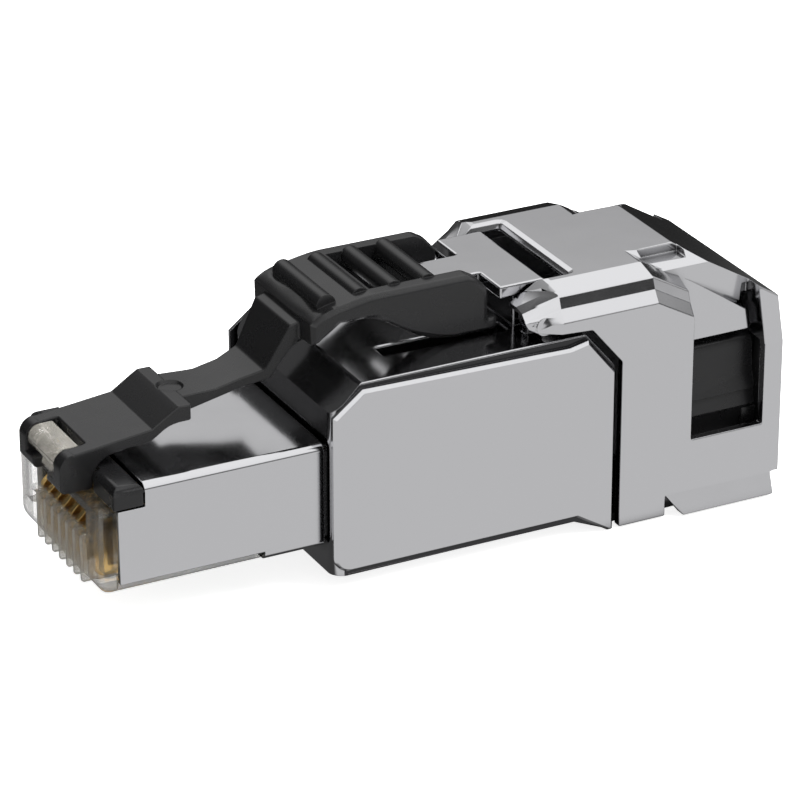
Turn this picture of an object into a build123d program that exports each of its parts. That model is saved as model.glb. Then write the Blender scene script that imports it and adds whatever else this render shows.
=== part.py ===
from build123d import *
from math import cos, hypot, radians, sin
import os

# Frame: +X runs from the nose to the cable, +Z is up, all sizes in mm.
# The origin is the middle of the length, on the centre plane, at the height of the underside.

# Named clearances
fit_clearance = 0.05
pin_clearance = 0.05
moving_clearance = 0.2

# Nose, the standard eight-way size
nose_width = 11.68
nose_height = 6.6
nose_rise = 2.45
nose_exposed = 1.1
nose_corner = 0.45
nose_lower_corner = 1.0
carrier_length = 14.4
deck_height = 5.3
contact_pitch = 1.02
contact_count = 8
contact_width = 0.36
contact_blade = 0.4
slot_width = 0.5
slot_depth = 5.4
slot_head = 0.9
comb_height = 3.05
comb_recess = 1.3
comb_bar = 0.4
chamber_lid = 0.55
side_pocket_length = 0.9
side_pocket_height = 3.9
side_pocket_depth = 0.55

# Barrel and web that the lever turns on
barrel_length = 1.5
barrel_height = 1.45
barrel_width = 3.66
barrel_round = 0.7
barrel_gap = 1.0
web_width = 1.7
trunnion_radius = 0.4
trunnion_depth = 0.5

# Shield sleeve around the nose
shield_length = 12.6
shield_wall = 0.35
shield_corner = 0.5
shield_side_lift = 0.75
shield_band = 3.7
shield_band_lift = 0.15

# Black crosspiece in front of the shield
crosspiece_start = 0.85
crosspiece_end = 2.7
crosspiece_height = 1.35
crosspiece_round = 0.5
crosspiece_relief = 0.45

# Front housing
neck_length = 0.25
neck_inset = 0.25
housing_length = 18.05
housing_width = 13.2
housing_floor = 0.9
housing_top = 12.75
housing_corner = 0.9
front_slope_length = 1.7
front_slope_drop = 1.75
rear_slope_length = 1.9
rear_slope_drop = 2.25
ramp_length = 2.1
ramp_flat = 0.4
cavity_wall = 1.7
cavity_width = 11.0
cavity_top = 9.4
tray_length = 10.2
tray_width = 11.8
tray_thickness = 2.0
rail_height = 1.9
rail_wall = 0.5
rail_end = 0.6

# Plates that stand proud on both sides of the housing
panel_depth = 0.4
panel_overhang = 0.15
panel_rim = 0.3
panel_sag = 0.25
panel_step = 1.2
panel_lift = 0.4
panel_corner = 1.1
panel_chamfer = 0.18

# Bridge plate over the tail of the lever
bridge_top = 15.45
bridge_plate = 0.75
bridge_width = 7.8
bridge_front = 11.95
bridge_rear = 14.85
bridge_tongue = 2.6
bridge_tongue_width = 2.9
bridge_post_width = 7.2
bridge_post_set = 1.0

# Latch lever: head with cheeks, shoulders, neck, riser and ribbed grip
lever_travel = 6.0
head_overhang = 1.05
head_width = 5.8
head_height = 2.28
head_round = 0.9
head_rise = 0.5
head_plate = 0.6
head_opening_width = 3.9
head_opening_length = 1.95
cheek_gap = 0.2
cheek_sole = 0.6
cheek_round = 0.3
arch_height = 0.45
arch_reach = 1.9
shoulder_reach = 6.98
shoulder_length = 1.13
shoulder_step = 1.27
shoulder_crown = 0.22
shoulder_height = 4.03
shoulder_depth = 0.98
dimple_radius = 0.82
dimple_depth = 0.2
dimple_taper = 40.0
neck_width = 3.2
neck_flare = 4.6
neck_depth = 0.6
neck_length_flat = 2.1
neck_length_bend = 3.6
neck_length_rise = 5.0
neck_bend_rise = 0.3
neck_rise = 0.72
grip_width = 7.7
grip_wall = 1.1
grip_height = 3.75
grip_plate = 0.85
grip_length = 11.28
grip_brow = 1.1
grip_front_height = 1.3
grip_curve = 4.3
grip_edge = 0.25
arm_clearance = 0.1
arm_depth = 1.35
arm_lift = 0.1
arm_start = 6.7
arm_bend = 4.5
tail_fall = 1.1
tail_round = 1.3
tail_tab = 0.6
tail_tab_height = 0.85
rib_radius = 0.6
rib_pitch = 2.15
rib_count = 4
rib_start = 1.4
rib_sink = 0.4
rib_overlap = 0.1

# Rear cover
cover_gap = 0.3
cover_length = 10.85
cover_width = 14.0
cover_wall = 0.6
cover_top = 15.68
cover_side_top = 13.87
cover_edge = 0.1
bevel_width = 0.5
bevel_height = 0.73
shoulder_inset = 0.78
shoulder_fall = 0.38
roof_width = 9.6
side_bend = 2.3
side_slope = 0.56
roof_ridge = 5.37
roof_slope = 0.59
roof_front_set = 1.4
ear_reach = 5.85
ear_taper_length = 2.0
ear_taper = 1.0
ear_fall = 1.2
ear_bevel = 0.45
ear_band = 0.08
ear_chin = 0.57
ear_chin_round = 0.55
ear_inner_width = 8.1
notch_start = 3.0
notch_length = 2.7
notch_width = 6.4
notch_depth = 0.58
tower_drop = 0.86
window_start = 4.75
window_length = 4.85
window_sill = 4.7
window_head = 10.5
saddle_top_width = 9.8
saddle_bottom_width = 11.8
saddle_gap = 0.5
post_height = 9.8
post_bevel_width = 0.85
post_bevel_height = 3.2
lip_start = 3.1
lip_height = 1.4
lip_flare = 0.45
lip_notch = 1.0
lip_end = 0.55
cable_radius = 4.7
cable_height = 5.2

# Hinge of the rear cover
hinge_reach = 13.6
hinge_height = 13.62
hinge_radius = 0.3
hinge_lug_radius = 0.5
hinge_lug_set = 0.8
hinge_lug_width = 0.7
hinge_boss_wall = 0.25
hinge_pin_seat = 0.25

# Circuit board and cable termination
board_thickness = 1.0
board_width = 10.4
board_nose_width = 8.8
board_set = 1.2
terminal_rows = 2
terminal_columns = 4
terminal_pitch = 2.4
terminal_row_pitch = 4.2
terminal_width = 1.7
terminal_thickness = 0.35
terminal_height = 2.0
terminal_fork = 0.5
terminal_notch = 1.5
block_length = 9.0
block_height = 2.5
manager_length = 5.6
manager_round = 0.8
chamber_radius = 1.35
chamber_pitch = 3.7

# Strain relief
relief_start = 0.25
relief_length = 4.75
relief_set = 0.65
relief_foot = 2.4
relief_arm_height = 7.9
relief_crease = 5.65
relief_step = 4.4
relief_hem = 3.5
relief_crease_set = 0.35
relief_step_set = 0.2
clamp_radius = 3.6
clamp_height = 6.2
clamp_sweep = 75.0

# Places along the plug, from the nose to the cable
total_length = (head_overhang + nose_exposed + shield_length + neck_length + housing_length
                + cover_gap + cover_length)
nose_front = -total_length / 2 + head_overhang
shield_front = nose_front + nose_exposed
shield_rear = shield_front + shield_length
housing_front = shield_rear + neck_length
housing_rear = housing_front + housing_length
cover_front = housing_rear + cover_gap
cover_rear = cover_front + cover_length
far = 2 * total_length

os.makedirs("parts", exist_ok=True)


def save(piece, name):
    """Label a finished piece and write it as its own file."""
    piece.part.label = name
    export_step(piece.part, f"parts/{name}.step")


def side_prism(points, half_width, mode=Mode.ADD):
    """A side outline in X and Z, as thick as twice the half width about the centre plane."""
    with BuildSketch(Plane.XZ) as outline:
        with BuildLine():
            Polyline(*points, close=True)
        make_face()
    extrude(outline.sketch, amount=half_width, both=True, mode=mode)


def section_face(points, x):
    """Half a cross section in Y and Z, mirrored about the centre plane, at a place along X."""
    mirrored = [(-y, z) for y, z in reversed(points)]
    with BuildSketch(Plane.YZ.offset(x)) as outline:
        with BuildLine():
            Polyline(*points, *mirrored, close=True)
        make_face()
    return outline.sketch


def section_prism(points, x_range, slope=0.0):
    """A mirrored cross section run along X, falling by the slope as it goes."""
    length = x_range[1] - x_range[0]
    extrude(section_face(points, x_range[0]), amount=length * hypot(1, slope), dir=(1, 0, -slope))


def block(x_range, y_range, z_range, mode=Mode.ADD):
    """A plain block between two limits on each axis."""
    with BuildSketch(Plane.XY.offset(z_range[0])) as base:
        with Locations(((x_range[0] + x_range[1]) / 2, (y_range[0] + y_range[1]) / 2)):
            Rectangle(x_range[1] - x_range[0], y_range[1] - y_range[0])
    extrude(base.sketch, amount=z_range[1] - z_range[0], mode=mode)


def cross_pin(x, z, radius, y_range, mode=Mode.ADD):
    """A round bar across the plug between two values of Y."""
    with BuildSketch(Plane.XZ.offset(-y_range[0])) as end:
        with Locations((x, z)):
            Circle(radius)
    extrude(end.sketch, amount=y_range[0] - y_range[1], mode=mode)


def both_sides(inner, outer):
    """The same band of Y on the far and on the near side."""
    return [(inner, outer), (-outer, -inner)]


def centred(width):
    """The two limits of a width about the centre plane."""
    return (-width / 2, width / 2)


# Clear contact carrier with its comb of ribs, and the barrel on a web that the lever turns on
nose_top = nose_rise + nose_height
carrier_half = nose_width / 2 - shield_wall - fit_clearance
nose_half = nose_width / 2 - 2 * fit_clearance
carrier_top = nose_top - shield_wall - fit_clearance
deck_top = nose_rise + deck_height
shield_bottom = nose_rise + shield_band_lift
comb_top = nose_rise + comb_height
comb_half = contact_pitch * contact_count / 2
barrel_front = nose_front - head_overhang + 2 * fit_clearance
barrel_rear = barrel_front + barrel_length
barrel_bottom = deck_top + barrel_gap
barrel_top = barrel_bottom + barrel_height
pivot_x = (barrel_front + barrel_rear) / 2
pivot_z = (barrel_bottom + barrel_top) / 2
contact_top = comb_top + slot_head / 2
board_top = contact_top - contact_blade
board_front = nose_front + slot_depth + moving_clearance
board_shoulder = nose_front + carrier_length + moving_clearance
board_rear = housing_rear - board_set
slot_places = [(index - (contact_count - 1) / 2) * contact_pitch for index in range(contact_count)]

with BuildPart() as contact_carrier:
    block((nose_front, nose_front + carrier_length), centred(2 * carrier_half),
          (shield_bottom + shield_wall + fit_clearance, carrier_top))
    block((nose_front, shield_rear - shield_band), centred(2 * carrier_half),
          (nose_rise, nose_rise + shield_side_lift))
    block((nose_front, shield_front - fit_clearance), centred(2 * nose_half), (nose_rise, carrier_top))
    fillet(contact_carrier.edges().filter_by(Axis.Z).group_by(Axis.X)[0], nose_corner)
    fillet(contact_carrier.edges().filter_by(Axis.Y).group_by(Axis.Z)[0].group_by(Axis.X)[0],
           nose_lower_corner)
    block((nose_front - nose_exposed, nose_front + crosspiece_end + fit_clearance), centred(2 * nose_width),
          (deck_top, nose_top), mode=Mode.SUBTRACT)
    block((nose_front - nose_exposed, nose_front + comb_recess), centred(2 * comb_half - slot_width),
          (comb_top, deck_top - chamber_lid), mode=Mode.SUBTRACT)
    for slot_y in slot_places:
        slot_sides = (slot_y - slot_width / 2, slot_y + slot_width / 2)
        block((nose_front, nose_front + slot_depth), slot_sides, (nose_rise, comb_top - comb_bar),
              mode=Mode.SUBTRACT)
        block((nose_front + comb_bar, nose_front + slot_depth), slot_sides,
              (nose_rise, comb_top + slot_head),
              mode=Mode.SUBTRACT)
    for near, outer in both_sides(carrier_half - side_pocket_depth, nose_width):
        with BuildSketch(Plane.XZ.offset(-near)):
            with Locations((nose_front + (nose_exposed + fit_clearance) / 2 + side_pocket_length / 7,
                            nose_rise + deck_height / 2 + side_pocket_height / 7)):
                RectangleRounded(side_pocket_length, side_pocket_height, side_pocket_length * 0.45)
        extrude(amount=near - outer, mode=Mode.SUBTRACT)
    # Web and barrel
    side_prism([(barrel_front + barrel_round, barrel_top - barrel_round),
                (barrel_rear, barrel_top - barrel_round),
                (barrel_rear, deck_top - chamber_lid / 2), (nose_front, deck_top - chamber_lid / 2),
                (barrel_front + barrel_round / 2, deck_top + barrel_gap / 2)], web_width / 2)
    with BuildSketch(Plane.XZ):
        with Locations((pivot_x, pivot_z)):
            RectangleRounded(barrel_length, barrel_height, barrel_round)
        with Locations((pivot_x + barrel_length / 4, pivot_z)):
            Rectangle(barrel_length / 2, barrel_height)
    extrude(amount=barrel_width / 2, both=True)
    for near, outer in both_sides(barrel_width / 2 - trunnion_depth - moving_clearance, nose_width):
        cross_pin(pivot_x, pivot_z, trunnion_radius + pin_clearance, (near, outer), mode=Mode.SUBTRACT)
    block((board_front - fit_clearance, board_shoulder), centred(board_nose_width + 2 * fit_clearance),
          (board_top - board_thickness - fit_clearance, board_top + fit_clearance), mode=Mode.SUBTRACT)
save(contact_carrier, "contact_carrier")


# Eight stamped contacts, one to a slot
blade_front = nose_front + side_pocket_length / 2 + fit_clearance
blade_inner = blade_front + 2 * contact_blade
blade_rear = nose_front + slot_depth - fit_clearance
contact_bottom = nose_rise + contact_width + fit_clearance
nose_bend = 1.5 * contact_blade
spring_end = nose_front + slot_depth - nose_exposed
for index, slot_y in enumerate(slot_places):
    with BuildPart() as contact:
        with BuildSketch(Plane.XZ.offset(-slot_y)):
            with BuildLine():
                Polyline((blade_front, contact_bottom + nose_bend),
                         (blade_front, contact_top - contact_blade),
                         (blade_front + contact_blade, contact_top), (blade_rear, contact_top),
                         (blade_rear, board_top), (blade_inner, board_top),
                         (blade_inner, contact_bottom + nose_bend), (spring_end,
                                                                     contact_bottom + contact_blade),
                         (spring_end, contact_bottom), (blade_front + nose_bend, contact_bottom))
                RadiusArc((blade_front + nose_bend, contact_bottom),
                          (blade_front, contact_bottom + nose_bend), nose_bend)
            make_face()
        extrude(amount=contact_width / 2, both=True)
    save(contact, f"contact_{index + 1}")


# Folded metal sleeve around the nose
shield_mid = (shield_bottom + nose_top) / 2
shield_outer_height = nose_top - shield_bottom
with BuildPart() as nose_shield:
    with BuildSketch(Plane.YZ.offset(shield_front)):
        with Locations((0, shield_mid)):
            RectangleRounded(nose_width, shield_outer_height, shield_corner)
            RectangleRounded(nose_width - 2 * shield_wall, shield_outer_height - 2 * shield_wall,
                             shield_corner - shield_wall, mode=Mode.SUBTRACT)
    extrude(amount=shield_length)
    block((shield_front - nose_exposed, shield_rear - shield_band), centred(2 * nose_width),
          (0, nose_rise + shield_side_lift), mode=Mode.SUBTRACT)
    block((shield_front - nose_exposed, nose_front + crosspiece_end + fit_clearance),
          centred(2 * nose_width),
          (deck_top - fit_clearance, nose_top + shield_wall), mode=Mode.SUBTRACT)
save(nose_shield, "nose_shield")


# Black crosspiece that closes the front of the shield
with BuildPart() as front_crosspiece:
    block((nose_front + crosspiece_start, nose_front + crosspiece_end), centred(nose_width),
          (deck_top, deck_top + crosspiece_height))
    fillet(front_crosspiece.faces().sort_by(Axis.Z)[-1].edges(), crosspiece_round)
    block((shield_front - nose_exposed, nose_front + crosspiece_start + crosspiece_relief),
          centred(head_width + moving_clearance), (deck_top, far), mode=Mode.SUBTRACT)
save(front_crosspiece, "front_crosspiece")


# Front housing, one casting with side plates, cavity, cable tray, hinge lugs and bridge plate
body_half = housing_width / 2
ramp_start = housing_rear - ramp_flat - ramp_length
rear_slope_start = housing_rear - rear_slope_length
rear_slope_end = housing_top - rear_slope_drop
tray_rear = housing_rear + tray_length
cavity_front = housing_front + cavity_wall
hinge_x = housing_front + hinge_reach
lug_inner = bridge_post_width / 2 + hinge_lug_set
lug_outer = lug_inner + hinge_lug_width
ear_tip = cover_front - ear_reach
ear_bend = ear_tip + ear_taper_length
pin_end = cover_width / 2 - ear_taper * (ear_bend - hinge_x) / ear_taper_length - hinge_pin_seat
bridge_under = bridge_top - bridge_plate
grip_front = housing_front + fit_clearance
tail = grip_front + grip_length
tail_end = tail + tail_tab
tail_bottom = housing_top + fit_clearance
tilt = radians(lever_travel)
pocket_inner = grip_width / 2 - grip_wall - arm_clearance
pocket_outer = grip_width / 2 + arm_clearance
pocket_floor = (pivot_z + (tail_bottom - pivot_z) * cos(tilt) - (tail_end - pivot_x) * sin(tilt)
                - moving_clearance)
pocket_end = (pivot_x + (tail_end - pivot_x) * cos(tilt)
              + (tail_bottom + tail_tab_height - pivot_z) * sin(tilt) + moving_clearance)

with BuildPart() as front_housing:
    side_prism([(housing_front, housing_floor), (ramp_start, housing_floor), (ramp_start + ramp_length, 0),
                (housing_rear, 0), (housing_rear, rear_slope_end), (rear_slope_start, housing_top),
                (housing_front + front_slope_length, housing_top),
                (housing_front, housing_top - front_slope_drop)], body_half)
    fillet(front_housing.edges().filter_by(Axis.Z).group_by(Axis.X)[0], housing_corner)
    # Side plates
    plate_front = housing_front - panel_overhang
    plate_rear = housing_rear - panel_overhang / 2
    plate_floor = housing_floor + panel_lift
    for side in (-1, 1):
        with BuildSketch(Plane.XZ.offset(-side * body_half)):
            with BuildLine():
                Polyline((plate_front, plate_floor + panel_corner),
                         (plate_front, housing_top - front_slope_drop),
                         (housing_front + front_slope_length, housing_top - panel_rim),
                         (rear_slope_start - panel_step, housing_top - panel_rim - panel_sag),
                         (rear_slope_start, housing_top - panel_rim),
                         (plate_rear, rear_slope_end - panel_rim), (plate_rear,
                                                                    0), (ramp_start + ramp_length, 0),
                         (ramp_start, plate_floor), (plate_front + panel_corner, plate_floor))
                RadiusArc((plate_front + panel_corner, plate_floor),
                          (plate_front, plate_floor + panel_corner),
                          panel_corner)
            make_face()
        extrude(amount=-side * panel_depth)
        chamfer(front_housing.faces().sort_by(Axis.Y)[0 if side < 0 else -1].edges(), panel_chamfer)
    # Collar around the rear end of the shield, and the bore for the carrier
    with BuildSketch(Plane.YZ.offset(shield_rear)):
        with Locations((0, shield_mid)):
            RectangleRounded(nose_width - 2 * neck_inset, shield_outer_height - 2 * neck_inset,
                             shield_corner)
    extrude(amount=neck_length + panel_depth)
    block((shield_rear, cavity_front + panel_depth), centred(2 * carrier_half + 2 * fit_clearance),
          (shield_bottom + shield_wall, carrier_top + fit_clearance), mode=Mode.SUBTRACT)
    # Cavity, and the pockets that the arms of the grip sink into
    block((cavity_front, housing_rear + 1), centred(cavity_width), (tray_thickness, cavity_top),
          mode=Mode.SUBTRACT)
    block((pocket_end + cavity_wall, housing_rear + 1), centred(cavity_width),
          (cavity_top - 1, rear_slope_end - ramp_flat), mode=Mode.SUBTRACT)
    for near, outer in both_sides(pocket_inner, pocket_outer):
        block((tail - arm_start - arm_clearance, pocket_end), (near, outer), (pocket_floor, far),
              mode=Mode.SUBTRACT)
    # Cable tray with its rails
    block((housing_rear - 1, tray_rear), centred(tray_width), (0, tray_thickness))
    for near, outer in both_sides(tray_width / 2 - rail_wall, tray_width / 2):
        block((housing_rear - 1, tray_rear - rail_end), (near, outer),
              (tray_thickness / 2, tray_thickness + rail_height))
    # Bridge plate on its post
    bridge_front_x = housing_front + bridge_front
    block((bridge_front_x + bridge_post_set, housing_front + bridge_rear - moving_clearance),
          centred(bridge_post_width), (housing_top - ramp_flat, bridge_under + bridge_plate / 2))
    block((bridge_front_x, housing_front + bridge_rear), centred(bridge_width), (bridge_under, bridge_top))
    block((bridge_front_x - bridge_tongue, bridge_front_x + bridge_plate), centred(bridge_tongue_width),
          (bridge_under, bridge_top))
    # Hinge lugs
    for near, outer in both_sides(lug_inner, lug_outer):
        block((hinge_x - hinge_lug_radius, hinge_x + hinge_lug_radius), (near, outer),
              (housing_top - ramp_flat, hinge_height))
        cross_pin(hinge_x, hinge_height, hinge_lug_radius, (near, outer))
        cross_pin(hinge_x, hinge_height, hinge_radius, (near, outer), mode=Mode.SUBTRACT)
save(front_housing, "front_housing")


# Two steel pins that carry the rear cover
for name, side in (("hinge_pin_left", 1), ("hinge_pin_right", -1)):
    with BuildPart() as hinge_pin:
        cross_pin(hinge_x, hinge_height, hinge_radius,
                  sorted((side * lug_inner, side * (pin_end - fit_clearance))))
    save(hinge_pin, name)


# Black latch lever, one moulding from the fork at the nose to the ribbed grip
head_front = nose_front - head_overhang
head_half = head_width / 2
cheek_bottom = deck_top + cheek_gap
cheek_rear = head_front + head_opening_length
head_top = cheek_bottom + head_height
shoulder_x = nose_front + shoulder_reach
shoulder_top = deck_top + shoulder_height
shoulder_bottom = shoulder_top - shoulder_depth
step_x = shoulder_x - shoulder_length
foot_x = step_x - shoulder_step
grip_half = grip_width / 2
grip_top = housing_top + grip_height
grip_brow_z = grip_top - grip_brow
grip_chin_z = grip_brow_z - grip_front_height
neck_start = step_x + shoulder_length / 2
neck_top = shoulder_top - fit_clearance
neck_bend_x = shoulder_x + neck_length_bend
neck_rise_x = shoulder_x + neck_length_rise

with BuildPart() as neck:
    side_prism([(neck_start, shoulder_bottom), (neck_start, neck_top),
                (shoulder_x + neck_length_flat, neck_top), (neck_bend_x, neck_top + neck_bend_rise),
                (neck_rise_x, neck_top + neck_rise), (grip_front - neck_depth,
                                                      grip_brow_z - 2 * neck_depth / 3),
                (grip_front + grip_wall, grip_brow_z), (grip_front + grip_wall / 2, grip_chin_z + arm_lift),
                (grip_front - neck_depth, grip_chin_z - neck_depth),
                (neck_rise_x + neck_depth / 2, neck_top + neck_rise - neck_depth),
                (neck_bend_x, neck_top + neck_bend_rise - neck_depth),
                (shoulder_x + neck_depth, shoulder_bottom)], neck_flare / 2)
    with BuildSketch(Plane.XY.offset(deck_top)):
        with BuildLine():
            Polyline((step_x, 0), (step_x, neck_width / 2), (neck_bend_x, neck_width / 2),
                     (grip_front - neck_depth, neck_flare / 2), (tail, neck_flare / 2), (tail,
                                                                                         0), close=True)
        make_face()
        mirror(about=Plane.XZ)
    extrude(amount=far, mode=Mode.INTERSECT)

with BuildPart() as grip:
    with BuildSketch(Plane.XZ):
        with BuildLine():
            Line((grip_front, grip_chin_z), (grip_front, grip_brow_z))
            Spline((grip_front, grip_brow_z), (grip_front + grip_curve / 2, grip_top - grip_brow / 4),
                   (grip_front + grip_curve, grip_top), tangents=[(0.7, 0.7), (1, 0)])
            Polyline((grip_front + grip_curve, grip_top), (tail - tail_round, grip_top),
                     (tail - tail_round / 2, grip_top - tail_fall / 3), (tail, grip_top - tail_fall),
                     (tail, tail_bottom + tail_tab_height), (tail_end, tail_bottom + tail_tab_height),
                     (tail_end, tail_bottom), (tail - tail_round, tail_bottom))
            Spline((tail - tail_round, tail_bottom),
                   (tail - arm_bend, tail_bottom + arm_lift + tail_fall / 2),
                   (tail - arm_start, grip_top - arm_depth - arm_lift * 4),
                   (tail - arm_start - tail_round, grip_top - arm_depth), tangents=[(-1, 0), (-1, 0.1)])
            Polyline((tail - arm_start - tail_round, grip_top - arm_depth),
                     (grip_front + grip_curve / 2 - arm_lift * 4, grip_top - arm_depth),
                     (grip_front + grip_wall / 2, grip_chin_z + arm_lift), (grip_front, grip_chin_z))
        make_face()
    extrude(amount=grip_half, both=True)
    for face in (grip.faces().sort_by(Axis.Y)[0], grip.faces().sort_by(Axis.Y)[-1]):
        chamfer(face.edges(), grip_edge)
    # Hollow underside, and the opening from the second rib to the rear
    block((grip_front + grip_wall, far), centred(grip_width - 2 * grip_wall),
          (deck_top, grip_top - grip_plate),
          mode=Mode.SUBTRACT)
    first_rib = grip_front + rib_start
    rib_length = grip_width - 2 * grip_wall + 2 * rib_overlap
    block((first_rib + rib_pitch + rib_radius, far), centred(grip_width - 2 * grip_wall), (deck_top, far),
          mode=Mode.SUBTRACT)
    for index in range(rib_count):
        cross_pin(first_rib + index * rib_pitch, grip_top - rib_sink, rib_radius, centred(rib_length))

with BuildPart() as latch_lever:
    with BuildSketch(Plane.XZ):
        with BuildLine():
            Polyline((head_front + head_round, head_top), (foot_x, head_top + head_rise),
                     (step_x, shoulder_top - shoulder_crown), (step_x + shoulder_length / 3, shoulder_top),
                     (shoulder_x, shoulder_top), (shoulder_x, shoulder_bottom), (step_x, shoulder_bottom))
            Spline((step_x, shoulder_bottom), (foot_x, head_top + head_rise - head_plate),
                   (cheek_rear + arch_reach, head_top + head_rise / 2 - head_plate),
                   (cheek_rear, cheek_bottom + arch_height), tangents=[(-1, -0.2), (-0.1, -1)])
            Polyline((cheek_rear, cheek_bottom + arch_height), (cheek_rear, cheek_bottom + cheek_round / 2),
                     (cheek_rear - cheek_round / 2, cheek_bottom), (head_front + cheek_round, cheek_bottom))
            RadiusArc((head_front + cheek_round, cheek_bottom), (head_front, cheek_bottom + cheek_round),
                      cheek_round)
            Line((head_front, cheek_bottom + cheek_round), (head_front, head_top - head_round))
            RadiusArc((head_front, head_top - head_round), (head_front + head_round, head_top), head_round)
        make_face()
    extrude(amount=head_half, both=True)
    # Opening around the barrel, narrower between the thick feet of the cheeks
    block((head_front - 1, cheek_rear), centred(head_opening_width), (cheek_bottom + cheek_sole, far),
          mode=Mode.SUBTRACT)
    block((head_front - 1, cheek_rear + fit_clearance), centred(web_width + moving_clearance),
          (deck_top, cheek_bottom + 2 * cheek_sole), mode=Mode.SUBTRACT)
    for side in (-1, 1):
        cross_pin(pivot_x, pivot_z, trunnion_radius,
                  sorted((side * (barrel_width / 2 - trunnion_depth), side * (head_half - cheek_round))))
    add(neck.part)
    add(grip.part)
    # Round dish between the shoulder and the neck
    with BuildSketch(Plane.XY.offset(shoulder_top)) as dish:
        with Locations((shoulder_x, 0)):
            Circle(dimple_radius)
    extrude(dish.sketch, amount=-dimple_depth, taper=dimple_taper, mode=Mode.SUBTRACT)
save(latch_lever, "latch_lever")


# Circuit board that joins the contacts to the terminals
with BuildPart() as circuit_board:
    block((board_front, board_shoulder), centred(board_nose_width),
          (board_top - board_thickness, board_top))
    block((board_shoulder, board_rear), centred(board_width), (board_top - board_thickness, board_top))
save(circuit_board, "circuit_board")


# Insulated block and its eight wire terminals
block_front = board_rear - block_length
terminal_places = [(block_front + block_length / 2 + (row - (terminal_rows - 1) / 2) * terminal_row_pitch,
                    (column - (terminal_columns - 1) / 2) * terminal_pitch)
                   for row in range(terminal_rows) for column in range(terminal_columns)]
slot_half = terminal_thickness / 2 + fit_clearance
with BuildPart() as terminal_block:
    block((block_front, board_rear), centred(board_width), (board_top, board_top + block_height))
    for x, y in terminal_places:
        block((x - terminal_width / 2 - fit_clearance, x + terminal_width / 2 + fit_clearance),
              (y - slot_half, y + slot_half), (board_top, far), mode=Mode.SUBTRACT)
        block((x - terminal_fork, x + terminal_fork), (y - terminal_notch / 2, y + terminal_notch / 2),
              (board_top + 2 * terminal_fork, far), mode=Mode.SUBTRACT)
save(terminal_block, "terminal_block")

for index, (x, y) in enumerate(terminal_places):
    half = terminal_width / 2
    tip_z = board_top + terminal_height
    with BuildPart() as terminal:
        with BuildSketch(Plane.XZ.offset(-y)):
            with BuildLine():
                Polyline((x - half, board_top), (x + half, board_top), (x + half, tip_z),
                         (x + terminal_fork / 2, tip_z - terminal_fork), (x + terminal_fork / 4,
                                                                          board_top + terminal_fork),
                         (x - terminal_fork / 4, board_top + terminal_fork), (x - terminal_fork / 2,
                                                                              tip_z - terminal_fork),
                         (x - half, tip_z), close=True)
            make_face()
        extrude(amount=terminal_thickness / 2, both=True)
    save(terminal, f"terminal_{index + 1}")


# Wire manager with four pair chambers around a cross
manager_front = board_rear + fit_clearance
manager_half = tray_width / 2 - rail_wall - fit_clearance
manager_top = rear_slope_end - ramp_flat - moving_clearance / 2
with BuildPart() as wire_manager:
    block((manager_front, manager_front + manager_length), centred(2 * manager_half),
          (tray_thickness, manager_top))
    fillet(wire_manager.edges().filter_by(Axis.X).group_by(Axis.Z)[-1], manager_round)
    with BuildSketch(Plane.YZ.offset(manager_front)):
        with Locations((0, (tray_thickness + manager_top) / 2)):
            with GridLocations(chamber_pitch, chamber_pitch, 2, 2):
                Circle(chamber_radius)
    extrude(amount=manager_length, mode=Mode.SUBTRACT)
save(wire_manager, "wire_manager")


# Strain relief, a black U that holds the cable from both sides
window_front = cover_front + window_start
window_rear = window_front + window_length
relief_half = cover_width / 2 - cover_wall - relief_set
relief_shelf = tray_thickness + relief_foot
relief_top = tray_thickness + relief_arm_height
clamp_end_y = clamp_radius * sin(radians(clamp_sweep))
clamp_end_z = clamp_height - clamp_radius * cos(radians(clamp_sweep))
with BuildPart() as strain_relief:
    with BuildSketch(Plane.YZ.offset(window_front + relief_start)):
        with BuildLine():
            Polyline((0, clamp_height - clamp_radius), (0, tray_thickness), (manager_half, tray_thickness),
                     (manager_half, relief_shelf),
                     (relief_half - relief_step_set, tray_thickness + relief_hem - relief_step_set),
                     (relief_half, tray_thickness + relief_hem),
                     (relief_half - relief_step_set, tray_thickness + relief_step),
                     (relief_half, tray_thickness + relief_step + relief_step_set / 2),
                     (relief_half - relief_crease_set, tray_thickness + relief_crease),
                     (relief_half - relief_crease_set, relief_top - relief_set),
                     (relief_half - relief_crease_set - relief_set / 4, relief_top - relief_set / 4),
                     (relief_half - relief_crease_set - relief_set, relief_top),
                     (relief_half - 2.5 * relief_set, relief_top), (clamp_end_y, clamp_end_z))
            RadiusArc((clamp_end_y, clamp_end_z), (0, clamp_height - clamp_radius), clamp_radius)
        make_face()
        mirror(about=Plane.YZ)
    extrude(amount=relief_length)
save(strain_relief, "strain_relief")


# Rear cover, one thin casting with hinge ears, roof, side windows and flared lips
bend_x = cover_front + side_bend
roof_front = housing_front + bridge_rear + roof_front_set
floor_z = -cover_top


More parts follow.
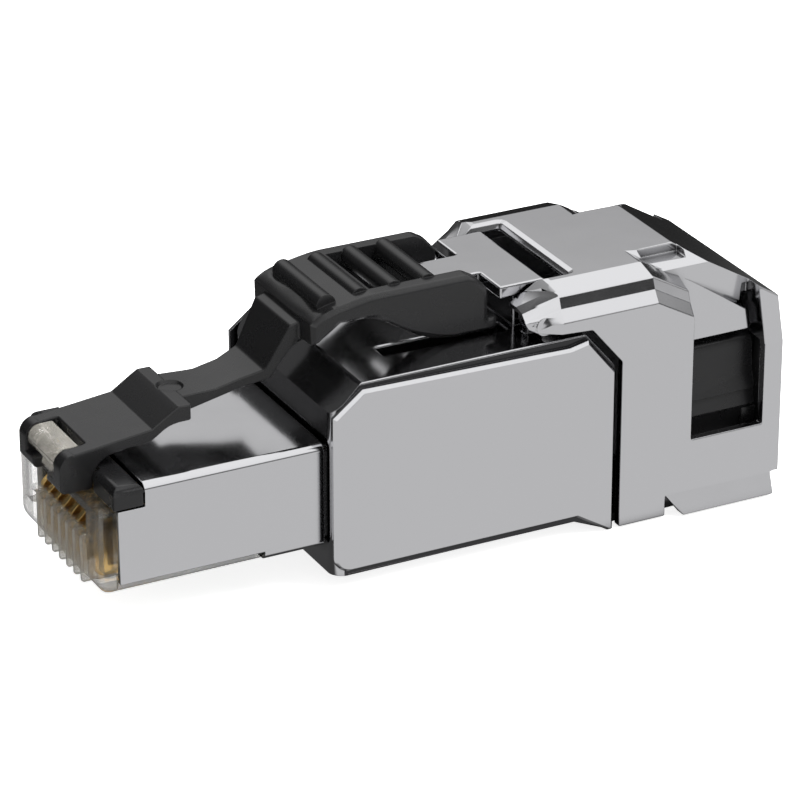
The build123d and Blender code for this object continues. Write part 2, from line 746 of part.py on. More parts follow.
def cover_form(inset):
    """The closed outer form of the cover, moved inwards by the inset on every side."""
    half = cover_width / 2 - inset
    top = cover_top - inset
    tower_half = saddle_top_width / 2 - inset
    ear_half = half - ear_taper
    crown = [(half, cover_side_top - inset / 2),
             (half - bevel_width, cover_side_top + bevel_height - inset),
             (half - shoulder_inset, top - shoulder_fall), (roof_width / 2 - inset / 2, top)]
    ear_crown = [(ear_half, cover_side_top - inset / 2),
                 (ear_half - ear_bevel + ear_band, cover_side_top + ear_bevel - ear_band - inset),
                 (ear_half - ear_bevel, cover_side_top + ear_bevel - inset),
                 (roof_width / 2 - inset / 2, top - ear_fall)]
    section = [(half, floor_z)] + crown
    post = [(half, floor_z), (half, post_height - inset / 2),
            (half - post_bevel_width, post_height + post_bevel_height - inset), (tower_half, top)]
    tower = [(tower_half, 0), (tower_half, top - tower_drop), (notch_width / 2 - inset, top)]
    with BuildPart() as form:
        loft([section_face([(ear_half, rear_slope_end)] + ear_crown, ear_tip + inset),
              section_face([(half, rear_slope_end)] + crown, ear_bend)], ruled=True)
        section_prism(section, (ear_bend, bend_x))
        section_prism(section, (bend_x, window_rear), slope=side_slope)
        section_prism(tower, (bend_x - notch_length, cover_rear - inset))
        section_prism(post, (window_rear - inset, cover_rear - inset))
        side_prism([(ear_tip, floor_z), (cover_rear, floor_z),
                    (cover_rear, top - (cover_rear - cover_front - roof_ridge) * roof_slope),
                    (cover_front + roof_ridge, top), (ear_tip, top)], cover_width, mode=Mode.INTERSECT)
    return form.part


def cut_recesses(inset):
    """The notches beside the narrow roof and the recesses over the side windows, each grown by the inset."""
    notch_x = cover_front + notch_start
    for near, outer in both_sides(notch_width / 2 - inset, cover_width):
        block((notch_x - inset, notch_x + notch_length + inset), (near, outer),
              (cover_top - notch_depth - inset, far), mode=Mode.SUBTRACT)
    top_half = saddle_top_width / 2 - inset
    bottom_half = saddle_bottom_width / 2 - inset
    for side in (-1, 1):
        with BuildSketch(Plane.YZ.offset(window_front - inset)) as recess:
            with BuildLine():
                Polyline((side * top_half, far), (side * top_half, cover_side_top),
                         (side * bottom_half, window_head - inset), (side * cover_width,
                                                                     window_head - inset),
                         (side * cover_width, far), close=True)
            make_face()
        extrude(recess.sketch, amount=window_length + 2 * inset, mode=Mode.SUBTRACT)


with BuildPart() as cover_cavity:
    add(cover_form(cover_wall))
    cut_recesses(cover_wall)

with BuildPart() as rear_cover:
    add(cover_form(0))
    cut_recesses(0)
    add(cover_cavity.part, mode=Mode.SUBTRACT)
    # Side outline of the ears, the gap over the side plates and the joint line
    ear_bottom = cover_side_top - ear_chin
    side_prism([(ear_tip - 1, ear_bottom + ear_chin_round), (ear_tip, ear_bottom + ear_chin_round),
                (ear_tip + ear_chin_round / 3, ear_bottom + ear_chin_round / 3),
                (ear_tip + ear_chin_round, ear_bottom),
                (rear_slope_start + moving_clearance, ear_bottom - moving_clearance),
                (cover_front, rear_slope_end + moving_clearance), (cover_front, floor_z), (ear_tip - 1,
                                                                                           floor_z)],
               cover_width, mode=Mode.SUBTRACT)
    # Opening between the ears
    block((ear_tip - 1, roof_front), centred(ear_inner_width), (housing_top, far), mode=Mode.SUBTRACT)
    # Side windows, and the slit behind each saddle wall
    for near, outer in both_sides(saddle_bottom_width / 2 - 2 * cover_wall, cover_width):
        block((window_front, window_rear), (near, outer), (window_sill, window_head), mode=Mode.SUBTRACT)
        block((window_rear - saddle_gap, window_rear), (near, outer),
              (window_head - fit_clearance, post_height + post_bevel_height), mode=Mode.SUBTRACT)
    # Cable outlet in the rear wall, open below
    with BuildSketch(Plane.YZ.offset(cover_rear - 2 * cover_wall)):
        with Locations((0, cable_height)):
            Circle(cable_radius)
        with Locations((0, cable_height / 2 - cable_radius)):
            Rectangle(2 * cable_radius, cable_height + 2 * cable_radius)
    extrude(amount=3 * cover_wall, mode=Mode.SUBTRACT)
    # Underside, cut higher where the flared lips start
    block((ear_tip, far), centred(2 * cover_width), (-far, cover_edge), mode=Mode.SUBTRACT)
    lip_x = cover_front + lip_start
    block((lip_x, far), centred(2 * cover_width), (-far, lip_height), mode=Mode.SUBTRACT)
    lip_inner = cover_width / 2 - cover_wall + fit_clearance
    for side in (-1, 1):
        with BuildSketch(Plane.YZ.offset(lip_x)):
            with BuildLine():
                Polyline((side * lip_inner, lip_height + moving_clearance),
                         (side * cover_width / 2, lip_height + moving_clearance), (side * cover_width / 2,
                                                                                   lip_height),
                         (side * (cover_width / 2 + lip_flare),
                          cover_edge), (side * (lip_inner + lip_flare), cover_edge),
                         (side * lip_inner, lip_height), close=True)
            make_face()
        extrude(amount=cover_rear - lip_end - lip_x)
    for near, outer in both_sides(cover_width / 2 - cover_wall, cover_width):
        with BuildSketch(Plane.XZ.offset(-near)):
            with BuildLine():
                Polyline((lip_x, lip_height), (lip_x + lip_notch, cover_edge), (lip_x + lip_notch, floor_z),
                         (lip_x, floor_z), close=True)
            make_face()
        extrude(amount=near - outer, mode=Mode.SUBTRACT)
    # Sockets for the hinge lugs, and bosses with blind pin holes
    boss_face = lug_outer + fit_clearance
    socket_radius = hinge_lug_radius + moving_clearance / 2
    for near, outer in both_sides(ear_inner_width / 2 - fit_clearance, boss_face):
        block((ear_tip, hinge_x), (near, outer), (floor_z, hinge_height + socket_radius),
              mode=Mode.SUBTRACT)
        cross_pin(hinge_x, hinge_height, socket_radius, (near, outer), mode=Mode.SUBTRACT)
    for side in (-1, 1):
        cross_pin(hinge_x, hinge_height, hinge_radius + hinge_boss_wall,
                  sorted((side * boss_face, side * (pin_end + fit_clearance))))
        cross_pin(hinge_x, hinge_height, hinge_radius + pin_clearance,
                  sorted((side * lug_outer, side * pin_end)), mode=Mode.SUBTRACT)
save(rear_cover, "rear_cover")
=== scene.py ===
from math import pi, radians

import bmesh
import bpy
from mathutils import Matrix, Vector


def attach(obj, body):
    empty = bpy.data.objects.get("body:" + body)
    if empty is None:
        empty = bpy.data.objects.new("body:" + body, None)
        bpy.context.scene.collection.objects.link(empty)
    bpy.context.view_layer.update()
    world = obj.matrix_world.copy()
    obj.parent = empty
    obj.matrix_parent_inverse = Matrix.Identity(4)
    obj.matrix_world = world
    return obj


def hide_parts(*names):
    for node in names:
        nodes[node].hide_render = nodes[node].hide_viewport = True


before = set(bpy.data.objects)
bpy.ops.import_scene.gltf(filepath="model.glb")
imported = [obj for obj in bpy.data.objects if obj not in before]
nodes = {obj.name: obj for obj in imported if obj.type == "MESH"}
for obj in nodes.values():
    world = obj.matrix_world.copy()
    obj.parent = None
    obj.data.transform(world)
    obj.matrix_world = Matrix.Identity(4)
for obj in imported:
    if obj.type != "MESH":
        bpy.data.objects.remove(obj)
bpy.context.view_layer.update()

MM = 0.001
contact_count = 8
terminal_count = 8


# Camera, at the photo's viewing angle
camera_place = (-102.80 * MM, -200.51 * MM, 114.30 * MM)
camera_azimuth = radians(-27.25)
camera_elevation = radians(25.30)
sensor_width = 36.0
focal_pixels = 4306.0
frame_pixels = 800.0
clip_near = 0.01
clip_far = 10

camera_data = bpy.data.cameras.new("photo_camera")
camera = bpy.data.objects.new("photo_camera", camera_data)
bpy.context.scene.collection.objects.link(camera)
camera.location = camera_place
camera.rotation_euler = (radians(90) - camera_elevation, 0, camera_azimuth)
camera_data.sensor_fit = "HORIZONTAL"
camera_data.sensor_width = sensor_width
camera_data.lens = focal_pixels * sensor_width / frame_pixels
camera_data.clip_start = clip_near
camera_data.clip_end = clip_far
bpy.context.scene.camera = camera
bpy.context.scene.view_settings.view_transform = "Standard"


# Shader helpers
def shader(name):
    """A new material with its Principled shader, its nodes and its links."""
    material = bpy.data.materials.new(name)
    material.use_nodes = True
    tree = material.node_tree
    return material, tree.nodes["Principled BSDF"], tree.nodes, tree.links


def grain(tree, links, scale, detail):
    """A noise in the piece's own coordinates."""
    place = tree.new("ShaderNodeTexCoord")
    noise = tree.new("ShaderNodeTexNoise")
    noise.inputs["Scale"].default_value = scale
    noise.inputs["Detail"].default_value = detail
    links.new(place.outputs["Object"], noise.inputs["Vector"])
    return noise.outputs["Fac"]


def ranged(tree, links, source, start, end, low=0.0, high=1.0):
    """The source between two of its values, turned into a range from low to high."""
    scale = tree.new("ShaderNodeMapRange")
    scale.inputs["From Min"].default_value = start
    scale.inputs["From Max"].default_value = end
    scale.inputs["To Min"].default_value = low
    scale.inputs["To Max"].default_value = high
    links.new(source, scale.inputs["Value"])
    return scale.outputs["Result"]


def soft_step(tree, links, source, start, end):
    """Zero before the start, one after the end, soft between them."""
    step = tree.new("ShaderNodeMapRange")
    step.interpolation_type = "SMOOTHSTEP"
    step.inputs["From Min"].default_value = start
    step.inputs["From Max"].default_value = end
    links.new(source, step.inputs["Value"])
    return step.outputs["Result"]


def mix_colours(tree, links, factor, first, second):
    """The first colour where the factor is zero, the second where it is one."""
    mixer = tree.new("ShaderNodeMix")
    mixer.data_type = "RGBA"
    links.new(factor, mixer.inputs["Factor"])
    for colour, socket in ((first, "A"), (second, "B")):
        if isinstance(colour, tuple):
            mixer.inputs[socket].default_value = colour
        else:
            links.new(colour, mixer.inputs[socket])
    return mixer.outputs["Result"]


def multiply(tree, links, first, second):
    """The product of two sources."""
    product = tree.new("ShaderNodeMath")
    product.operation = "MULTIPLY"
    links.new(first, product.inputs[0])
    links.new(second, product.inputs[1])
    return product.outputs[0]


def shade_steps(tree, links, source, stops):
    """A ramp of grey levels over the source."""
    ramp = tree.new("ShaderNodeValToRGB")
    links.new(source, ramp.inputs["Fac"])
    steps = ramp.color_ramp.elements
    steps[0].position, steps[0].color = stops[0][0], grey_level(stops[0][1])
    steps[1].position, steps[1].color = stops[-1][0], grey_level(stops[-1][1])
    for position, level in stops[1:-1]:
        steps.new(position).color = grey_level(level)
    return ramp.outputs["Color"]


def grey_level(level):
    """An opaque grey."""
    return (level, level, level, 1)


def ray_kinds(tree, links, *kinds):
    """One where a ray is of any of the kinds, else zero."""
    path = tree.new("ShaderNodeLightPath")
    total = path.outputs[kinds[0]]
    for kind in kinds[1:]:
        either = tree.new("ShaderNodeMath")
        either.operation = "MAXIMUM"
        links.new(total, either.inputs[0])
        links.new(path.outputs[kind], either.inputs[1])
        total = either.outputs[0]
    return total


def darker(colour, share):
    """A share of a colour, opaque."""
    return (*(part * share for part in colour), 1)


# Plated metal
worn_edge_samples = 6
metal_edge = 0.05 * MM
# The shelter and crevice values set the painted shade in the plating's gaps and corners
shelter_samples = 8
crevice_reach = 1.2 * MM
crevice_dark = 0.30
crevice_light = 0.80
painted_crevice_shade = 0.06
cloud_scale = 420
cloud_detail = 3
cloud_smooth = 0.8
cloud_rough = 1.25
wave_scale = 230
wave_detail = 2


def raise_surface(tree, links, finish, source, depth, edge):
    """The source as a relief of the given depth, over edges worn round by a radius."""
    relief = tree.new("ShaderNodeBump")
    worn_edge = tree.new("ShaderNodeBevel")
    worn_edge.samples = worn_edge_samples
    worn_edge.inputs["Radius"].default_value = edge
    links.new(worn_edge.outputs["Normal"], relief.inputs["Normal"])
    relief.inputs["Strength"].default_value = 1.0
    relief.inputs["Distance"].default_value = depth
    links.new(source, relief.inputs["Height"])
    links.new(relief.outputs["Normal"], finish.inputs["Normal"])


def paint_crevice_shade(tree, links, finish, colour):
    """Painted shade: the plating's base colour darkened in gaps and corners by ambient occlusion."""
    shelter = tree.new("ShaderNodeAmbientOcclusion")
    shelter.samples = shelter_samples
    shelter.inputs["Distance"].default_value = crevice_reach
    open_share = ranged(tree, links, shelter.outputs["AO"], crevice_dark, crevice_light)
    shade_painted_base = mix_colours(tree, links, open_share, darker(colour, painted_crevice_shade), (*colour, 1))
    links.new(shade_painted_base, finish.inputs["Base Color"])


def plated_metal(name, colour, roughness, waviness, crevice_shade_painted=False):
    """Bright plating with a slow waviness from the casting under it and faint cloudiness, and, where asked,
    painted shade in its gaps and corners.
    """
    material, finish, tree, links = shader(name)
    finish.inputs["Metallic"].default_value = 1.0
    finish.inputs["Base Color"].default_value = (*colour, 1)
    if crevice_shade_painted:
        paint_crevice_shade(tree, links, finish, colour)
    cloud = grain(tree, links, cloud_scale, cloud_detail)
    links.new(ranged(tree, links, cloud, 0, 1, roughness * cloud_smooth, roughness * cloud_rough),
              finish.inputs["Roughness"])
    wave = grain(tree, links, wave_scale, wave_detail)
    raise_surface(tree, links, finish, wave, waviness, metal_edge)
    return material


# Moulded plastic
plastic_edge = 0.1 * MM
plastic_ior = 1.42
patch_scale = 700
patch_detail = 2
patch_smooth = 0.9
patch_rough = 1.15
pit_scale = 9000
pit_detail = 2


def moulded_plastic(name, colour, roughness, texture):
    """Moulded plastic with the fine spark-eroded grain of its tool."""
    material, finish, tree, links = shader(name)
    finish.inputs["Base Color"].default_value = (*colour, 1)
    finish.inputs["IOR"].default_value = plastic_ior
    patch = grain(tree, links, patch_scale, patch_detail)
    links.new(ranged(tree, links, patch, 0, 1, roughness * patch_smooth, roughness * patch_rough),
              finish.inputs["Roughness"])
    pits = grain(tree, links, pit_scale, pit_detail)
    raise_surface(tree, links, finish, pits, texture, plastic_edge)
    return material


# Clear plastic
clear_ior = 1.45
clear_roughness = 0.015
clear_share = 0.97
barrel_share = 0.62
barrel_foot = 7.9 * MM
barrel_blend = 0.5 * MM
flow_scale = 500
flow_detail = 1
flow_depth = 0.003 * MM
facing_blend = 0.4
edge_on_start = 0.45
edge_on_full = 0.85
edge_on_tone = 0.3


def clear_plastic(name, colour, face_on, grazing, share=clear_share):
    """Clear polycarbonate, cloudier in the barrel and denser where it is seen edge on."""
    material, finish, tree, links = shader(name)
    finish.inputs["Roughness"].default_value = clear_roughness
    finish.inputs["IOR"].default_value = clear_ior
    place = tree.new("ShaderNodeTexCoord")
    height = tree.new("ShaderNodeSeparateXYZ")
    links.new(place.outputs["Object"], height.inputs[0])
    clearness = ranged(tree, links, height.outputs["Z"], barrel_foot, barrel_foot + barrel_blend,
                       share, barrel_share)
    links.new(clearness, finish.inputs["Transmission Weight"])
    relief = tree.new("ShaderNodeBump")
    relief.inputs["Strength"].default_value = 1.0
    relief.inputs["Distance"].default_value = flow_depth
    links.new(grain(tree, links, flow_scale, flow_detail), relief.inputs["Height"])
    links.new(relief.outputs["Normal"], finish.inputs["Normal"])
    turned = tree.new("ShaderNodeLayerWeight")
    turned.inputs["Blend"].default_value = facing_blend
    edge_on = ranged(tree, links, turned.outputs["Facing"], edge_on_start, edge_on_full)
    tint = mix_colours(tree, links, edge_on, (*colour, 1), darker(colour, edge_on_tone))
    links.new(tint, finish.inputs["Base Color"])
    links.new(ranged(tree, links, turned.outputs["Facing"], 0, 1, face_on, grazing), finish.inputs["Alpha"])
    return material


# The bright nickel carries painted shade in its gaps and corners
nickel = plated_metal("bright_nickel", (0.60, 0.60, 0.615), 0.13, 0.010 * MM, crevice_shade_painted=True)
# Painted shade: a near-black nickel for the groove faces, standing in for the dark line there
groove_shade_nickel = plated_metal("painted_groove_shade", (0.05, 0.05, 0.052), 0.2, 0.004 * MM)
black = moulded_plastic("black_moulding", (0.0105, 0.0105, 0.011), 0.27, 0.002 * MM)
clear = clear_plastic("clear_moulding", (0.97, 0.93, 0.84), 0.30, 0.9)
rib_clear = clear_plastic("rib_moulding", (0.97, 0.94, 0.86), 0.6, 1.0, share=0.78)
gold = plated_metal("gold_plating", (0.90, 0.62, 0.24), 0.22, 0.004 * MM)
tin = plated_metal("tin_plating", (0.72, 0.71, 0.68), 0.3, 0.004 * MM)
green = moulded_plastic("solder_mask", (0.03, 0.2, 0.07), 0.35, 0.002 * MM)
grey = moulded_plastic("grey_moulding", (0.16, 0.16, 0.17), 0.42, 0.003 * MM)
ivory = moulded_plastic("ivory_moulding", (0.62, 0.60, 0.54), 0.4, 0.003 * MM)


# Working on pieces
merge_distance = 0.0015 * MM
coplanar_angle = 0.6
corner_angle = 28
rounded_angle = 42
branch_room = 2.4
straight_on = -0.9
strip_room = 1.3
facet_slack = 0.02
facet_tolerance = 0.02 * MM
flat_weight = 100


def work_on(piece):
    """Make the piece the only selected and active object."""
    bpy.ops.object.select_all(action="DESELECT")
    piece.select_set(True)
    bpy.context.view_layer.objects.active = piece


def strip_width(face):
    """How wide a face is across its longest edge."""
    return face.calc_area() / max(edge.calc_length() for edge in face.edges)


def has_room(edge, width):
    """Whether no short edge branches off where this edge ends."""
    for corner in edge.verts:
        along = (edge.other_vert(corner).co - corner.co).normalized()
        for branch in corner.link_edges:
            if branch is edge:
                continue
            away = (branch.other_vert(corner).co - corner.co).normalized()
            if branch.calc_length() < branch_room * width and along.dot(away) > straight_on:
                return False
    return True


def lies_on(edge, region):
    """Whether both ends of an edge are in a region, where there is one."""
    return region is not None and all(region(corner.co) for corner in edge.verts)


def facet_of(place, facets):
    """Which of the facets between two sections a place lies on, or none."""
    start_x, end_x, start, end = facets
    share = (place.x - start_x) / (end_x - start_x)
    if not -facet_slack < share < 1 + facet_slack:
        return None
    outline = [Vector(first).lerp(Vector(last), share) for first, last in zip(start, end)]
    spot = Vector((abs(place.y), place.z))
    for index, (one, two) in enumerate(zip(outline, outline[1:])):
        along = two - one
        reach = min(max((spot - one).dot(along) / along.dot(along), 0), 1)
        if (one + along * reach - spot).length < facet_tolerance:
            return index + (place.y > 0) * len(outline)
    return None


def flatten_facets(piece, facets):
    """Join the slivers of each facet into one flat face."""
    sections = facets[2:]
    bpy.ops.mesh.select_mode(type="FACE")
    for wanted in range(2 * len(sections[0])):
        bpy.ops.mesh.select_all(action="DESELECT")
        slivers = bmesh.from_edit_mesh(piece.data)
        for face in slivers.faces:
            face.select_set(facet_of(face.calc_center_median(), facets) == wanted)
        slivers.select_flush_mode()
        chosen = sum(face.select for face in slivers.faces)
        bmesh.update_edit_mesh(piece.data)
        if chosen > 1:
            bpy.ops.mesh.dissolve_faces()
    bpy.ops.mesh.select_mode(type="VERT")


def weigh_edges(piece, width, broad_edges, broad_width, crisp_edges):
    """Mark the corners that have room to be rounded, some of them more than the rest."""
    corners = bmesh.new()
    corners.from_mesh(piece.data)
    weight = corners.edges.layers.float.new("bevel_weight_edge")
    for edge in corners.edges:
        if len(edge.link_faces) != 2 or not has_room(edge, width) or lies_on(edge, crisp_edges):
            continue
        narrow = min(strip_width(face) for face in edge.link_faces)
        if edge.calc_face_angle(0) > radians(corner_angle) and narrow > strip_room * width:
            edge[weight] = 1.0 if lies_on(edge, broad_edges) else width / broad_width
    corners.to_mesh(piece.data)
    corners.free()


def round_edges(piece, width, segments, broad_edges, broad_width, crisp_edges):
    """Round the piece's corners and folds, some of them by a broader chamfer."""
    broad_width = broad_width if broad_edges is not None else width
    weigh_edges(piece, width, broad_edges, broad_width, crisp_edges)
    rounding = piece.modifiers.new("rounded_edges", "BEVEL")
    rounding.width = broad_width
    rounding.segments = segments
    rounding.limit_method = "WEIGHT"
    rounding.use_clamp_overlap = False
    rounding.miter_outer = "MITER_ARC"
    bpy.ops.object.modifier_apply(modifier=rounding.name)


def shade_piece(piece, smooth_angle):
    """Smooth the rounded edges and keep the broad faces flat."""
    bpy.ops.object.shade_smooth_by_angle(angle=radians(smooth_angle))
    folds = bmesh.new()
    folds.from_mesh(piece.data)
    for edge in folds.edges:
        edge.smooth = edge.calc_face_angle(pi) < radians(smooth_angle)
    folds.to_mesh(piece.data)
    folds.free()
    flatness = piece.modifiers.new("flat_faces", "WEIGHTED_NORMAL")
    flatness.mode = "FACE_AREA"
    flatness.weight = flat_weight
    flatness.keep_sharp = True
    bpy.ops.object.modifier_apply(modifier=flatness.name)


def finish_piece(node_name, piece_name, material, width, segments=2, smooth_angle=rounded_angle,
                 broad_edges=None, broad_width=0.0, crisp_edges=None, facets=None):
    """A copy of a moulding or casting with its coplanar faces joined and its edges rounded."""
    piece = bpy.data.objects.new(piece_name, nodes[node_name].data.copy())
    bpy.context.scene.collection.objects.link(piece)
    piece.data.materials.clear()
    piece.data.materials.append(material)
    work_on(piece)
    bpy.ops.object.mode_set(mode="EDIT")
    bpy.ops.mesh.select_all(action="SELECT")
    bpy.ops.mesh.remove_doubles(threshold=merge_distance)
    bpy.ops.mesh.dissolve_limited(angle_limit=radians(coplanar_angle))
    if facets is not None:
        flatten_facets(piece, facets)
    bpy.ops.object.mode_set(mode="OBJECT")
    round_edges(piece, width, segments, broad_edges, broad_width, crisp_edges)
    shade_piece(piece, smooth_angle)
    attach(piece, body_names.get(node_name, "plug"))
    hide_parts(node_name)
    return piece


def block(name, low, high, material, rounding, segments=3):
    """A block between two corners, its edges rounded."""
    size = [top - bottom for bottom, top in zip(low, high)]
    middle = [(top + bottom) / 2 for bottom, top in zip(low, high)]
    bpy.ops.object.select_all(action="DESELECT")
    bpy.ops.mesh.primitive_cube_add(size=1, location=middle, scale=size)
    piece = bpy.context.object
    piece.name = name
    bpy.ops.object.transform_apply(location=True, scale=True)
    bpy.ops.object.mode_set(mode="EDIT")
    bpy.ops.mesh.select_all(action="SELECT")
    bpy.ops.mesh.bevel(offset=rounding, segments=segments, affect="EDGES")
    bpy.ops.object.mode_set(mode="OBJECT")
    bpy.ops.object.shade_smooth_by_angle(angle=radians(rounded_angle))
    piece.data.materials.append(material)
    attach(piece, "plug")
    return piece


def copy_beside(piece, name, shift):
    """A copy with its own mesh, moved sideways."""
    copy = bpy.data.objects.new(name, piece.data.copy())
    bpy.context.scene.collection.objects.link(copy)
    work_on(copy)
    bpy.ops.object.mode_set(mode="EDIT")
    bpy.ops.mesh.select_all(action="SELECT")
    bpy.ops.transform.translate(value=(0, shift, 0))
    bpy.ops.object.mode_set(mode="OBJECT")
    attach(copy, "plug")
    return copy


# Castings, folded metal and mouldings
body_names = {"latch_lever": "lever", "rear_cover": "cover"}
casting_smooth_angle = 9
moulding_smooth_angle = 24
moulding_segments = 4
housing_round = 0.12 * MM
cover_round = 0.08 * MM
roof_chamfer = 0.40 * MM
shield_round = 0.07 * MM
moulding_round = 0.14 * MM
relief_round = 0.12 * MM
carrier_round = 0.05 * MM

roof_front_x = 8.5 * MM
roof_front_reach = 0.9 * MM
roof_top_z = 15.68 * MM
roof_tolerance = 0.02 * MM
ear_tip_x = 5.4 * MM
ear_bend_x = 7.4 * MM
ear_rear_x = 7.6 * MM
ear_chin_z = 13.8 * MM
ear_tip_section = [(6.0, 12.0), (6.0, 13.87), (5.63, 14.24), (5.55, 14.32), (4.8, 14.48)]
ear_bend_section = [(7.0, 12.0), (7.0, 13.87), (6.5, 14.6), (6.22, 15.3), (4.8, 15.68)]


def in_metres(section):
    """A section's points, given in millimetres."""
    return [(across * MM, height * MM) for across, height in section]


def on_roof_top(place):
    """Whether a place is at the height of the roof's top."""
    return abs(place.z - roof_top_z) < roof_tolerance


def on_roof_front(place):
    """Whether a corner lies on the roof's front edge or beside the opening between the ears."""
    return on_roof_top(place) and place.x < roof_front_x + roof_front_reach


def on_ear(place):
    """Whether a place lies on one of the cover's tapering ears, outside the roof."""
    return place.x < ear_rear_x and place.z > ear_chin_z and not on_roof_top(place)


ear_facets = (ear_tip_x, ear_bend_x, in_metres(ear_tip_section), in_metres(ear_bend_section))
housing_casting = finish_piece("front_housing", "housing_casting", nickel, housing_round,
                               smooth_angle=casting_smooth_angle)
finish_piece("rear_cover", "cover_casting", nickel, cover_round, smooth_angle=casting_smooth_angle,
             broad_edges=on_roof_front, broad_width=roof_chamfer, crisp_edges=on_ear, facets=ear_facets)
finish_piece("nose_shield", "shield_sleeve", nickel, shield_round)
finish_piece("latch_lever", "lever_moulding", black, moulding_round, moulding_segments, moulding_smooth_angle)
finish_piece("front_crosspiece", "crosspiece_moulding", black, moulding_round, moulding_segments,
             moulding_smooth_angle)
finish_piece("strain_relief", "relief_moulding", black, relief_round)
finish_piece("contact_carrier", "carrier_moulding", clear, carrier_round)


# Painted shade: near-black nickel on the faces of the groove between the side plates and the deck's edge
body_half = 6.6 * MM
groove_tolerance = 0.03 * MM
sideways = 0.95

housing_casting.data.materials.append(groove_shade_nickel)
for face in housing_casting.data.polygons:
    if abs(face.normal.y) > sideways and abs(abs(face.center.y) - body_half) < groove_tolerance:
        face.material_index = 1


# Ribs of the comb, one between each pair of contacts
contact_pitch = 1.02 * MM
rib_depth = 0.7 * MM
rib_thickness = 0.40 * MM
rib_front = -21.12 * MM
rib_foot = 2.42 * MM
rib_head = 5.3 * MM
rib_round = 0.14 * MM
rib_count = contact_count - 1
first_rib_y = -(rib_count - 1) / 2 * contact_pitch

first_rib = block("comb_rib_1", (rib_front, first_rib_y - rib_thickness / 2, rib_foot),
                  (rib_front + rib_depth, first_rib_y + rib_thickness / 2, rib_head), rib_clear, rib_round)
for index in range(1, rib_count):
    copy_beside(first_rib, f"comb_rib_{index + 1}", index * contact_pitch)


# Heels of the strain relief, behind the side windows
heel_front = 20.2 * MM
heel_rear = 21.2 * MM
heel_inner = 4.9 * MM
heel_outer = 5.7 * MM
heel_foot = 2.1 * MM
heel_head = 5.3 * MM
heel_round = 0.1 * MM

near_heel = block("relief_heel_near", (heel_front, -heel_outer, heel_foot),
                  (heel_rear, -heel_inner, heel_head), black, heel_round)
copy_beside(near_heel, "relief_heel_far", heel_inner + heel_outer)


# Finishes of the pieces that keep the CAD's own mesh
bare_finishes = {"hinge_pin_left": nickel, "hinge_pin_right": nickel, "wire_manager": grey,
                 "terminal_block": ivory, "circuit_board": green}
bare_finishes.update({f"contact_{index + 1}": gold for index in range(contact_count)})
bare_finishes.update({f"terminal_{index + 1}": tin for index in range(terminal_count)})
for name, material in bare_finishes.items():
    nodes[name].data.materials.clear()
    nodes[name].data.materials.append(material)


# Studio: white behind the plug, a plain level on it, and a sky of light and dark bands in its mirrors
front_bands = [(0.0, 0.80), (0.15, 0.75), (0.19, 0.03), (0.29, 0.03), (0.36, 0.6), (0.46, 1.2), (1.0, 1.25)]
back_bands = [(0.0, 0.03), (0.24, 0.03), (0.36, 0.45), (0.46, 0.8), (0.56, 1.25), (1.0, 1.25)]
sky_turn = 0.15
corner_level = 0.06
corner_across = (0.05, -0.35)
corner_depth = (0.0, 0.3)
plain_level = 0.62


def light_studio():
    """The world round the plug."""
    world = bpy.data.worlds.new("studio")
    bpy.context.scene.world = world
    world.use_nodes = True
    tree, links = world.node_tree.nodes, world.node_tree.links
    place = tree.new("ShaderNodeTexCoord")
    split = tree.new("ShaderNodeSeparateXYZ")
    links.new(place.outputs["Generated"], split.inputs[0])
    across, depth, height = split.outputs["X"], split.outputs["Y"], split.outputs["Z"]
    front_sky = shade_steps(tree, links, height, front_bands)
    back_sky = shade_steps(tree, links, height, back_bands)
    turn = soft_step(tree, links, depth, -sky_turn, sky_turn)
    turned_sky = mix_colours(tree, links, turn, front_sky, back_sky)
    dark_corner = multiply(tree, links, soft_step(tree, links, across, *corner_across),
                           soft_step(tree, links, depth, *corner_depth))
    mirror_sky = mix_colours(tree, links, dark_corner, turned_sky, grey_level(corner_level))
    mirrored = ray_kinds(tree, links, "Is Glossy Ray")
    sky = mix_colours(tree, links, mirrored, grey_level(plain_level), mirror_sky)
    seen = mix_colours(tree, links, ray_kinds(tree, links, "Is Camera Ray", "Is Transmission Ray"), sky,
                       grey_level(1))
    links.new(seen, tree["Background"].inputs["Color"])


light_studio()


# Floor that keeps the soft shadow; in the metal it shows a painted reflection that glows light in front of
# the plug, dark under it as a painted shadow, and dark behind it
floor_size = 3.0
floor_drop = 0.05 * MM
floor_tone = 0.8
floor_roughness = 0.9
floor_glow = 0.82
reflected_front = -10 * MM
reflected_back = 45 * MM
# Painted reflection: the floor's glow in mirrors, light in front, dark under the plug as painted shadow, and
# dark behind
painted_floor_reflection = [(0.0, 0.77), (0.045, 0.77), (0.062, 0.06), (0.25, 0.08), (0.32, 0.32), (1.0, 0.02)]


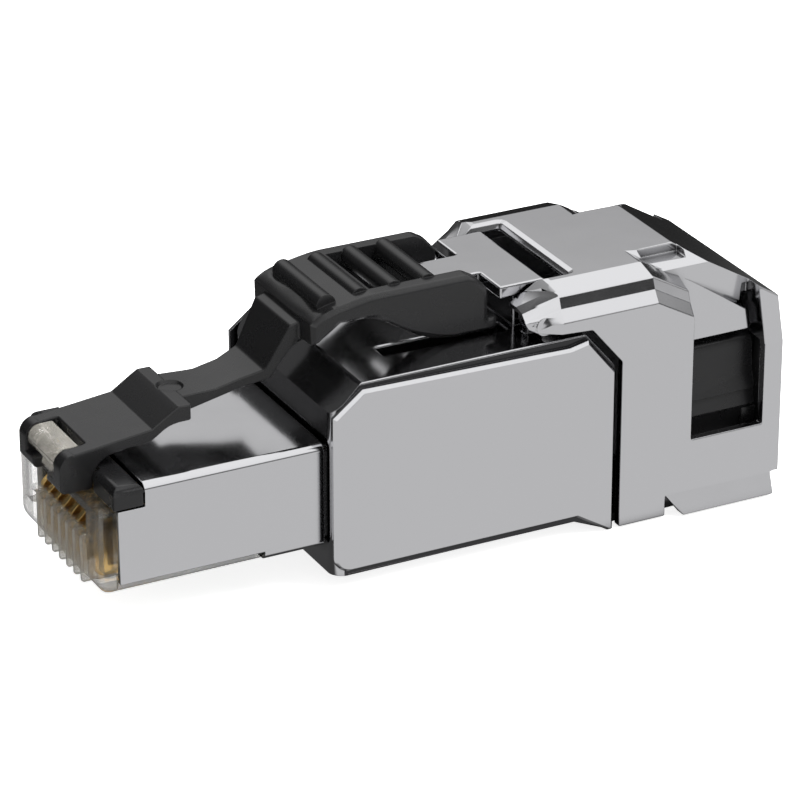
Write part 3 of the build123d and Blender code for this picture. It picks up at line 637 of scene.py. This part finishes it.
def floor_finish():
    """A pale matt floor which mirrors see as a painted reflection: glowing bands set by place."""
    material, finish, tree, links = shader("pale_floor")
    finish.inputs["Base Color"].default_value = grey_level(floor_tone)
    finish.inputs["Roughness"].default_value = floor_roughness
    finish.inputs["Specular IOR Level"].default_value = 0.0
    finish.inputs["Emission Color"].default_value = grey_level(1)
    glow = tree.new("ShaderNodeMath")
    glow.operation = "MULTIPLY"
    glow.inputs[1].default_value = floor_glow
    links.new(ray_kinds(tree, links, "Is Camera Ray", "Is Transmission Ray"), glow.inputs[0])
    links.new(glow.outputs[0], finish.inputs["Emission Strength"])
    place = tree.new("ShaderNodeTexCoord")
    split = tree.new("ShaderNodeSeparateXYZ")
    links.new(place.outputs["Object"], split.inputs[0])
    depth = ranged(tree, links, split.outputs["Y"], reflected_front, reflected_back)
    painted_mirror_glow = tree.new("ShaderNodeEmission")
    links.new(shade_steps(tree, links, depth, painted_floor_reflection), painted_mirror_glow.inputs["Color"])
    blend = tree.new("ShaderNodeMixShader")
    links.new(ray_kinds(tree, links, "Is Glossy Ray"), blend.inputs["Fac"])
    links.new(finish.outputs["BSDF"], blend.inputs[1])
    links.new(painted_mirror_glow.outputs["Emission"], blend.inputs[2])
    links.new(blend.outputs["Shader"], tree["Material Output"].inputs["Surface"])
    return material


bpy.ops.object.select_all(action="DESELECT")
bpy.ops.mesh.primitive_plane_add(size=floor_size, location=(0, 0, -floor_drop))
floor = bpy.context.object
floor.name = "floor"
bpy.ops.object.transform_apply(location=True)
floor.data.materials.append(floor_finish())


# Softboxes, which the mirror surfaces do not show
lamp_aim = (0, 0, 0.005)


def softbox(name, place, size, power):
    """A square lamp at a place, turned to the plug."""
    lamp_data = bpy.data.lights.new(name, "AREA")
    lamp_data.shape = "SQUARE"
    lamp_data.size = size
    lamp_data.energy = power
    lamp = bpy.data.objects.new(name, lamp_data)
    bpy.context.scene.collection.objects.link(lamp)
    lamp.location = place
    lamp.rotation_euler = (Vector(lamp_aim) - Vector(place)).to_track_quat("-Z", "Y").to_euler()
    lamp.visible_glossy = False


softbox("key_softbox", (0.25, -0.20, 0.55), 0.35, 4.5)
softbox("fill_softbox", (0.45, -0.2, 0.30), 0.30, 1.0)
